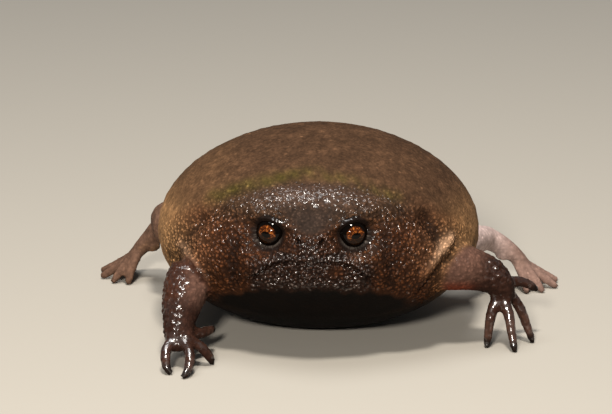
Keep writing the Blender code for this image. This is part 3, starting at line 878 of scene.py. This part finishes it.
def body_shades(points, part):
    """The colours laid over the back's on the body and face, each as a name and its share at each point."""
    x, y, z = points.T
    wide = abs(x)
    face = part["face"]
    body = 1 - part["limb"]
    flank = smoothstep(22.5, 15.0, z) * smoothstep(15.0, 22.0, wide) * smoothstep(14.0, -4.0, y)
    jowl = line_distance(np.column_stack([wide, z]), WRINKLES["jowl"][0])
    nostril = np.hypot(wide - NOSTRIL[0], z - NOSTRIL[1])
    streak = 0.3 + 0.3 * smoothstep(3.0, -6.0, x) + 0.25 * np.sin(1.9 * x + 0.7) * np.sin(1.1 * x + 2.3 * y)
    dark_line = line_distance(np.column_stack([wide, y, z]), LINES["arm fold"][0])
    cheek_hollow = line_distance(points, FOLDS["left cheek hollow"][0])
    shades = [
        # painted light: a faint wash of the flanks' tan over the frog's right side
        ("flank", 0.11 * smoothstep(8.5, 15.5, -x) * smoothstep(13.0, 1.0, y)),
        ("cheek", face * smoothstep(21.5, 18.0, z)),
        ("cheek_outer", face * smoothstep(12.0, 16.5, wide) * smoothstep(9.0, 13.0, z)),
        # the flanks' tan, partly painted light, a little weaker on the frog's left side
        ("flank", flank * body * (1 - 0.25 * smoothstep(-5.0, 5.0, x))),
        # painted shade: the body darkens towards the floor
        ("belly", body * smoothstep(9.0, 4.0, z)),
        # painted shade in the jowl's crease
        ("crease", 0.6 * face * hill(jowl, 1.1)),
    ]
    for name, share, across, up, half_width, tall in CHEEK_SHADES:
        shades.append((name, share * face * hill(np.hypot(x - across, (z - up) / tall), half_width)))
    shades += [
        ("crown", part["crown"] * hill(wide, 9.0)),
        ("forehead", part["forehead"]),
        ("snout", np.maximum(part["snout"], part["lips"] * smoothstep(7.0, 4.0, wide)) * 0.7),
        ("chin", part["chin"]),
        ("cheek", part["dry_chin"] * 0.8),
        # painted shade: the throat and low belly near black, over their own dark brown
        ("throat", part["throat"]),
        # painted shade in the nostrils
        ("crease", face * hill(nostril, 0.45)),
        ("olive", streak * hill(line_distance(points, OLIVE_STREAK), 1.1) * body),
        # painted shade along the crease in front of each arm
        ("crease", 0.6 * hill(dark_line, 0.9) * body),
        # painted shade in the hollow on the left cheek
        ("crease", 0.8 * hill(cheek_hollow, 1.1) * body),
    ]
    for side, strength in (("left", 0.95), ("right", 0.5)):
        fold = line_distance(points, FOLDS[f"{side} arm fold"][0])
        fold = hill(fold, 0.4 + 0.5 * smoothstep(12.5, 15.5, z)) * smoothstep(11.5, 14.5, z)
        crease = hill(line_distance(points, FOLDS[f"{side} arm crease"][0]), 0.5)
        # the folds' own tan, and painted shade in the creases beside them
        shades += [("fold", fold * body * strength), ("crease", 0.85 * crease * body)]
    return shades


def limb_shades(points, normals, part):
    """The colours laid over the body's on the limbs, in the same form."""
    x = points[:, 0]
    leg = part["leg"]
    # painted glow on what faces down, stronger on the left arm
    underside = smoothstep(-0.2, -0.9, normals[:, 2]) * np.where(x < 0, 0.4, 0.85)
    shades = [
        ("inner_arm", part["limb"]),
        ("warty_arm", part["warty_arm"]),
        ("arm_under_painted_glow", part["limb"] * underside),
    ]
    for side, sign in (("left", 1), ("right", -1)):
        here = part["limb"] * (x * sign > 0)
        wrist = np.linalg.norm(points - ARMS[side]["line"][-2][:3], axis=1)
        shades += [("hand", here * smoothstep(6.5, 3.5, wrist)), ("hand", 0.65 * here * part["digit"])]
        for finger in ARMS[side]["fingers"]:
            tip = np.linalg.norm(points - finger[-1], axis=1)
            shades.append(("digit_tip", here * smoothstep(1.6, 0.6, tip)))
    return shades + [
        # the legs take the flanks' tan, partly painted light as there
        ("flank", leg * 0.9),
        # painted shade on the right hind foot, and painted light on the left hind leg: the same skin, shaded
        # and lit
        ("foot", leg * (x < 0) * smoothstep(20.0, 24.0, abs(x))),
        ("pale_shank_painted_light", leg * smoothstep(18.5, 22.5, x)),
        ("pale_foot_painted_light", leg * smoothstep(24.0, 30.0, x)),
    ]


def lid_shades(points):
    """The colours laid over the face's round the eyes, in the same form."""
    shades = []
    for eye in EYES.values():
        gap, lower = below_eye(points, eye)
        shades += [
            # the lids' own dark skin, widened over the upper lid by painted shade from the brow
            ("lid_edge", on_lids(points, eye, 0.16, 0.3)),
            # painted shadow under the lower lid
            ("lid_edge", 0.9 * lower * smoothstep(1.15, 0.65, gap)),
            # the lower lid's pale rim, partly painted light
            ("lower_lid_edge", lower * hill(gap - 0.1, 0.1)),
        ]
    return shades


def skin_colours(points, normals, part):
    """The colour of each point, painted light and shade included, before the material adds its mottling."""
    colours = np.tile(linear(COLOURS["back"]), (len(points), 1))
    shades = body_shades(points, part) + limb_shades(points, normals, part) + lid_shades(points)
    for name, share in shades:
        colours += (np.array(linear(COLOURS[name])) - colours) * np.clip(share, 0, 1)[:, None]
    return colours


def keep_values(mesh, name, values):
    """Stores a number or a colour for each point, for the material to read."""
    if values.ndim == 1:
        layer = mesh.attributes.new(name, "FLOAT", "POINT")
        layer.data.foreach_set("value", values)
    else:
        layer = mesh.attributes.new(name, "FLOAT_COLOR", "POINT")
        layer.data.foreach_set("color", np.column_stack([values, np.ones(len(values))]).ravel())


# Materials


def new_material(name):
    material = bpy.data.materials.new(name)
    material.use_nodes = True
    return material, material.node_tree, material.node_tree.nodes["Principled BSDF"]


def add_node(tree, kind, inputs=None, **settings):
    """Adds a node with its settings. An input is a plain value, or another node's output to link."""
    node = tree.nodes.new(kind)
    for name, value in settings.items():
        setattr(node, name, value)
    for name, value in (inputs or {}).items():
        if isinstance(value, bpy.types.NodeSocket):
            tree.links.new(value, node.inputs[name])
        else:
            node.inputs[name].default_value = value
    return node


def per_metre(millimetres):
    """The texture scale whose features are this far apart."""
    return 1 / (millimetres * MM)


def skin_material():
    """Moist frog skin: dull soft brown where it is dry, with a small bright glint on each wet grain."""
    material, tree, shader = new_material("moist_granular_skin")
    place = add_node(tree, "ShaderNodeTexCoord").outputs["Object"]
    zone = add_node(tree, "ShaderNodeAttribute", attribute_name="zone").outputs["Color"]
    lift, grainy, wet, mottle = (
        add_node(tree, "ShaderNodeAttribute", attribute_name=name).outputs["Fac"]
        for name in ("pebble", "grain", "wet", "mottle")
    )

    # grains about 0.5 mm apart, of uneven size
    wander = add_node(tree, "ShaderNodeTexNoise", {"Vector": place, "Scale": per_metre(0.6), "Detail": 1.0})
    bent = add_node(
        tree,
        "ShaderNodeVectorMath",
        {0: wander.outputs["Color"], 1: (0.35 * MM, 0.35 * MM, 0.35 * MM), 2: place},
        operation="MULTIPLY_ADD",
    ).outputs[0]
    grains = add_node(
        tree, "ShaderNodeTexVoronoi", {"Vector": bent, "Scale": per_metre(0.48), "Randomness": 0.9}
    ).outputs["Distance"]
    dome_height = add_node(
        tree,
        "ShaderNodeMapRange",
        {"Value": grains, "From Min": 0.08, "From Max": 0.62, "To Min": 1.0, "To Max": 0.0},
        interpolation_type="SMOOTHSTEP",
    ).outputs[0]

    # pigment is paler on the pebbles and the grains' tops, and darker in the furrows between grains as painted
    # shade
    shade = add_node(tree, "ShaderNodeMapRange", {"Value": lift, "To Min": 0.85, "To Max": 1.25}).outputs[0]
    furrow_shade = add_node(
        tree, "ShaderNodeMapRange", {"Value": dome_height, "To Min": 0.22, "To Max": 1.42}
    ).outputs[0]
    furrow_shade = add_node(tree, "ShaderNodeMix", {"Factor": grainy, "A": 1.0, "B": furrow_shade}).outputs["Result"]
    shade = add_node(tree, "ShaderNodeMath", {0: shade, 1: furrow_shade}, operation="MULTIPLY").outputs[0]
    # clouds and speckles in it, by their size in millimetres and their strength
    for size, depth in ((3.4, 0.2), (1.1, 0.22), (0.4, 0.28)):
        cloud = add_node(
            tree, "ShaderNodeTexNoise", {"Vector": place, "Scale": per_metre(size), "Detail": 3.0}
        ).outputs["Fac"]
        mottled = add_node(
            tree,
            "ShaderNodeMapRange",
            {"Value": cloud, "From Min": 0.3, "From Max": 0.7, "To Min": 1 - depth, "To Max": 1 + depth},
        ).outputs[0]
        mottled = add_node(
            tree, "ShaderNodeMix", {"Factor": mottle, "A": 1.0, "B": mottled}
        ).outputs["Result"]
        shade = add_node(tree, "ShaderNodeMath", {0: shade, 1: mottled}, operation="MULTIPLY").outputs[0]
    pigment = add_node(
        tree, "ShaderNodeVectorMath", {0: zone, "Scale": shade}, operation="SCALE"
    ).outputs["Vector"]
    # a few pale dots, 2.3 mm apart: pale granules, and painted soft glints
    dots = add_node(
        tree, "ShaderNodeTexVoronoi", {"Vector": place, "Scale": per_metre(2.3)}
    ).outputs["Distance"]
    dotted = add_node(
        tree,
        "ShaderNodeMapRange",
        {"Value": dots, "From Min": 0.13, "From Max": 0.05, "To Max": 0.9},
        interpolation_type="SMOOTHSTEP",
    ).outputs[0]
    dotted = add_node(tree, "ShaderNodeMath", {0: dotted, 1: 1.0}, operation="ADD").outputs[0]
    pigment = add_node(
        tree, "ShaderNodeVectorMath", {0: pigment, "Scale": dotted}, operation="SCALE"
    ).outputs["Vector"]
    tree.links.new(pigment, shader.inputs["Base Color"])

    # relief of the grains, and a skin-fine unevenness under the water
    swell = add_node(tree, "ShaderNodeMath", {0: dome_height, 1: grainy}, operation="MULTIPLY").outputs[0]
    grained = add_node(tree, "ShaderNodeBump", {"Height": swell, "Distance": 0.16 * MM}).outputs["Normal"]
    pores = add_node(
        tree, "ShaderNodeTexNoise", {"Vector": place, "Scale": per_metre(0.2), "Detail": 2.0}
    ).outputs["Fac"]
    normal = add_node(
        tree, "ShaderNodeBump", {"Height": pores, "Distance": 0.025 * MM, "Normal": grained}
    ).outputs["Normal"]
    tree.links.new(normal, shader.inputs["Normal"])
    tree.links.new(grained, shader.inputs["Coat Normal"])

    # water stands on grains in beads about 0.6 mm across, until it covers all
    beads = add_node(
        tree, "ShaderNodeTexNoise", {"Vector": place, "Scale": per_metre(0.6), "Detail": 1.0}
    ).outputs["Fac"]
    beads = add_node(
        tree, "ShaderNodeMapRange", {"Value": beads, "From Min": 0.3, "From Max": 0.7}
    ).outputs[0]
    covered = add_node(tree, "ShaderNodeMath", {0: beads, 1: wet}, operation="ADD").outputs[0]
    water = add_node(
        tree,
        "ShaderNodeMapRange",
        {"Value": covered, "From Min": 1.0, "From Max": 1.15},
        interpolation_type="SMOOTHSTEP",
    ).outputs[0]
    # it drains from the furrows, and gleams most where there is most of it
    drained = add_node(
        tree, "ShaderNodeMapRange", {"Value": dome_height, "From Min": 0.1, "From Max": 0.5}
    ).outputs[0]
    drained = add_node(tree, "ShaderNodeMix", {"Factor": grainy, "A": 1.0, "B": drained}).outputs["Result"]
    water = add_node(tree, "ShaderNodeMath", {0: water, 1: drained}, operation="MULTIPLY").outputs[0]
    gleam = add_node(
        tree,
        "ShaderNodeMapRange",
        {"Value": wet, "From Min": 0.68, "From Max": 0.88, "To Min": 0.62, "To Max": 1.0},
    ).outputs[0]
    water = add_node(tree, "ShaderNodeMath", {0: water, 1: gleam}, operation="MULTIPLY").outputs[0]
    tree.links.new(water, shader.inputs["Coat Weight"])
    gloss = add_node(tree, "ShaderNodeMapRange", {"Value": wet, "To Min": 0.8, "To Max": 0.5}).outputs[0]
    tree.links.new(gloss, shader.inputs["Roughness"])
    # the skin itself hardly shines, and leaves the glints to the water
    shader.inputs["IOR"].default_value = 1.4
    shader.inputs["Specular IOR Level"].default_value = 0.1
    shader.inputs["Coat Roughness"].default_value = 0.2
    # well above water's 1.33, which leaves glints as small as these too weak
    shader.inputs["Coat IOR"].default_value = 1.95
    return material


def eye_material(eye, name):
    """A living eye: dull copper fibres round a level oval pupil, under a clear front with sharp glints."""
    material, tree, shader = new_material(f"copper_iris_{name}")
    # places in millimetres from the ball's centre: across, up and out of the eye
    out, across, up = (Vector(axis) for axis in eye["axes"])
    # the mirrored eye's axes are left-handed, which no turn can give
    if across.cross(up).dot(out) < 0:
        across = -across
    turn = Matrix((across, up, out)).transposed().to_euler()
    place = add_node(tree, "ShaderNodeTexCoord").outputs["Object"]
    local = add_node(
        tree,
        "ShaderNodeMapping",
        {
            "Vector": place,
            "Location": Vector(eye["centre"]) * MM,
            "Rotation": turn,
            "Scale": (MM, MM, MM),
        },
        vector_type="TEXTURE",
    ).outputs[0]
    flat = add_node(
        tree, "ShaderNodeVectorMath", {0: local, 1: (1.0, 1.0, 0.0)}, operation="MULTIPLY"
    ).outputs[0]
    radius = add_node(tree, "ShaderNodeVectorMath", {0: flat}, operation="LENGTH").outputs["Value"]
    heading = add_node(tree, "ShaderNodeVectorMath", {0: flat}, operation="NORMALIZE").outputs[0]
    oval = add_node(
        tree,
        "ShaderNodeVectorMath",
        {0: flat, 1: (1 / PUPIL_HALF[0], 1 / PUPIL_HALF[1], 0.0)},
        operation="MULTIPLY",
    ).outputs[0]
    pupil = add_node(tree, "ShaderNodeVectorMath", {0: oval}, operation="LENGTH").outputs["Value"]

    # fibres, as noise read by heading and radius, so that they widen outwards
    spread = add_node(tree, "ShaderNodeCombineXYZ", {"Z": radius}).outputs[0]
    strands = add_node(tree, "ShaderNodeVectorMath", {0: heading, 1: spread}, operation="ADD").outputs[0]
    fibres = add_node(
        tree, "ShaderNodeTexNoise", {"Vector": strands, "Scale": 4.2, "Detail": 2.5}
    ).outputs["Fac"]
    ramp = add_node(tree, "ShaderNodeValToRGB", {"Fac": fibres})
    stops = ramp.color_ramp.elements
    stops[0].position = 0.38
    stops[0].color = (*linear("220E06"), 1)
    stops[1].position = 0.73
    stops[1].color = (*linear("AC662A"), 1)
    stops.new(0.56).color = (*linear("4A220C"), 1)

    # the iris darkens downwards, and its rim, the pupil and the rest of the ball are near black
    black = (*linear("050302"), 1)
    height = add_node(tree, "ShaderNodeSeparateXYZ", {"Vector": local}).outputs["Y"]
    dim = add_node(
        tree,
        "ShaderNodeMapRange",
        {"Value": height, "From Min": 0.3, "From Max": -0.6, "To Max": 0.95},
        interpolation_type="SMOOTHSTEP",
    ).outputs[0]
    copper = add_node(
        tree,
        "ShaderNodeMix",
        {"Factor": dim, "A": ramp.outputs[0], "B": (*linear("140A04"), 1)},
        data_type="RGBA",
    ).outputs["Result"]
    rim = add_node(
        tree,
        "ShaderNodeMapRange",
        {"Value": radius, "From Min": IRIS_RADIUS - 0.22, "From Max": IRIS_RADIUS + 0.02},
        interpolation_type="SMOOTHSTEP",
    ).outputs[0]
    ringed = add_node(tree, "ShaderNodeMix", {"Factor": rim, "A": copper, "B": black}, data_type="RGBA")
    inside = add_node(
        tree,
        "ShaderNodeMapRange",
        {"Value": pupil, "From Min": 1.08, "From Max": 0.96},
        interpolation_type="SMOOTHSTEP",
    ).outputs[0]
    whole = add_node(
        tree, "ShaderNodeMix", {"Factor": inside, "A": ringed.outputs["Result"], "B": black}, data_type="RGBA"
    )
    tree.links.new(whole.outputs["Result"], shader.inputs["Base Color"])
    shader.inputs["Roughness"].default_value = 0.6
    shader.inputs["Specular IOR Level"].default_value = 0.0
    shader.inputs["Coat Weight"].default_value = 1.0
    shader.inputs["Coat Roughness"].default_value = 0.03
    # below the cornea's 1.38, to keep the studio's reflection dim beside the highlights
    shader.inputs["Coat IOR"].default_value = 1.24
    return material


def floor_material():
    """A pale matt studio floor, which takes soft shadows and reflects nothing."""
    material, _, shader = new_material("pale_matt_floor")
    shader.inputs["Base Color"].default_value = (*linear("98938A"), 1)
    shader.inputs["Roughness"].default_value = 0.9
    return material


# Pieces


def shape_skin():
    """The smooth skin with its folds, face and lids, before its pebbles."""
    tubes = [make_tube(*tube) for tube in limb_tubes()]
    spades = [make_ball(plan["spade"], SPADE_SIZE) for plan in LEGS.values()]
    lids = [make_ball(eye["centre"], [eye["radius"] + LID_HEIGHT] * 3) for eye in EYES.values()]
    mesh = fuse([make_body(), *tubes, *spades, *lids])
    # the skin runs softly from the body into each limb, and from each arm into its fingers
    points = read_points(mesh)
    join = hill(egg_distance(points), 1.6) * hill(limb_distance(points), 1.6)
    for plan in ARMS.values():
        join = np.maximum(join, hill(np.linalg.norm(points - plan["line"][-1][:3], axis=1), 2.0))
    relax(mesh, 0.6 * join, 8)
    for zone in (fine_zone, finest_zone):
        mesh = refine(mesh, zone)
        relax(mesh, 0.5 * zone(read_points(mesh)), 2)
    move_out(mesh, fold_relief(read_points(mesh)))
    move_out(mesh, face_relief(read_points(mesh)))
    write_points(mesh, shape_lids(read_points(mesh)))
    move_out(mesh, lower_lid_relief(read_points(mesh)))
    return mesh


def make_skin():
    """The skin of the whole frog, with what its material reads at each point."""
    mesh = shape_skin()
    points = read_points(mesh)
    normals = read_points(mesh, "normal")
    part = regions(points, normals)
    clear = clear_of_lids(points)
    kept = {
        "zone": skin_colours(points, normals, part),
        "grain": blend_values(GRAIN, part) * clear,
        "wet": blend_values(WATER, part) * clear + lid_water(points) * (1 - clear),
        "mottle": blend_values(MOTTLE, part),
        "pebble": raise_pebbles(mesh, part, clear),
    }
    # water shows on what faces up, and on the upper side of each pebble
    facing_up = read_points(mesh, "normal")[:, 2]
    pebble_tops = smoothstep(0.0, 0.2, facing_up - normals[:, 2])
    upper_side = np.maximum(smoothstep(-0.2, 0.35, facing_up), pebble_tops)
    kept["wet"] *= np.maximum(upper_side, 0.3 * part["digit"])
    for name, values in kept.items():
        keep_values(mesh, name, values)
    # nothing reaches below the floor
    points = read_points(mesh)
    points[:, 2] = np.maximum(points[:, 2], 0.0)
    write_points(mesh, points)
    flesh = [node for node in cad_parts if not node.startswith("eye_")]
    add_piece("skin", mesh, skin_material(), flesh)


def make_eye(name, eye):
    """The ball of an eye, a round sphere a little smaller than its solid."""
    bm = bmesh.new()
    bmesh.ops.create_uvsphere(bm, u_segments=64, v_segments=48, radius=eye["radius"] - 0.02)
    bmesh.ops.translate(bm, verts=bm.verts, vec=Vector(eye["centre"]))
    material = eye_material(eye, name)
    add_piece(f"eyeball_{name}", mesh_of(bm), material, [eye["node"]])


# Studio

AIM = Vector((0.0, 0.0, 14.0))  # where the lights and the camera point
LAMP_COLOUR = "FFF8EE"


def make_floor():
    bm = bmesh.new()
    bmesh.ops.create_grid(bm, x_segments=4, y_segments=4, size=3000)
    mesh = mesh_of(bm, "studio_floor")
    mesh.transform(Matrix.Scale(MM, 4))
    floor = bpy.data.objects.new("studio_floor", mesh)
    bpy.context.scene.collection.objects.link(floor)
    mesh.materials.append(floor_material())


def add_light(name, place, size, watts):
    """A square, faintly warm studio light, at a place in millimetres, turned to the frog."""
    lamp = bpy.data.lights.new(name, "AREA")
    lamp.size = size * MM
    lamp.energy = watts
    lamp.color = linear(LAMP_COLOUR)
    light = bpy.data.objects.new(name, lamp)
    bpy.context.scene.collection.objects.link(light)
    light.location = Vector(place) * MM
    light.rotation_euler = (AIM - Vector(place)).to_track_quat("-Z", "Y").to_euler()


def add_sun(name, tilt, spread, strength):
    """A broad even light from overhead, tilted in degrees about Y and X, that also lights the far floor."""
    lamp = bpy.data.lights.new(name, "SUN")
    lamp.angle = math.radians(spread)
    lamp.energy = strength
    light = bpy.data.objects.new(name, lamp)
    bpy.context.scene.collection.objects.link(light)
    light.rotation_euler = (math.radians(tilt[1]), math.radians(tilt[0]), 0.0)


def make_studio():
    make_floor()
    add_sun("soft_overhead", (-8, -6), 35, 1.8)
    add_light("key", (10, -145, 400), 55, 2.0)
    add_light("front_fill", (-50, -430, 205), 50, 2.6)
    world = bpy.data.worlds.new("studio_air")
    world.use_nodes = True
    world.node_tree.nodes["Background"].inputs["Color"].default_value = (*linear("E8EAED"), 1)
    world.node_tree.nodes["Background"].inputs["Strength"].default_value = 0.16
    bpy.context.scene.world = world
    bpy.context.scene.view_settings.view_transform = "Standard"


# Camera: the photo's view, from a little above and to the frog's left.
CAMERA_TURN = math.radians(3.2)
CAMERA_RISE = math.radians(15.0)
CAMERA_DISTANCE = 330.0
VIEW_WIDTH = 88.1  # what the frame takes in at that distance
AIM_SHIFT = (-1.73, 3.11)  # right and up in the picture, from the aim to the frame's middle


def make_camera():
    ahead = Vector(
        (
            -math.sin(CAMERA_TURN) * math.cos(CAMERA_RISE),
            math.cos(CAMERA_TURN) * math.cos(CAMERA_RISE),
            -math.sin(CAMERA_RISE),
        )
    )
    right = Vector((math.cos(CAMERA_TURN), math.sin(CAMERA_TURN), 0.0))
    up = right.cross(ahead)
    middle = AIM + right * AIM_SHIFT[0] + up * AIM_SHIFT[1]
    lens = bpy.data.cameras.new("camera")
    lens.sensor_width = 36.0
    lens.lens = lens.sensor_width * CAMERA_DISTANCE / VIEW_WIDTH
    lens.clip_start = 0.01
    lens.clip_end = 20.0
    camera = bpy.data.objects.new("camera", lens)
    bpy.context.scene.collection.objects.link(camera)
    camera.location = (middle - ahead * CAMERA_DISTANCE) * MM
    camera.rotation_euler = Matrix((right, up, -ahead)).transposed().to_euler()
    bpy.context.scene.camera = camera


make_studio()
make_camera()
make_skin()
for eye_name, eye_plan in EYES.items():
    make_eye(eye_name, eye_plan)
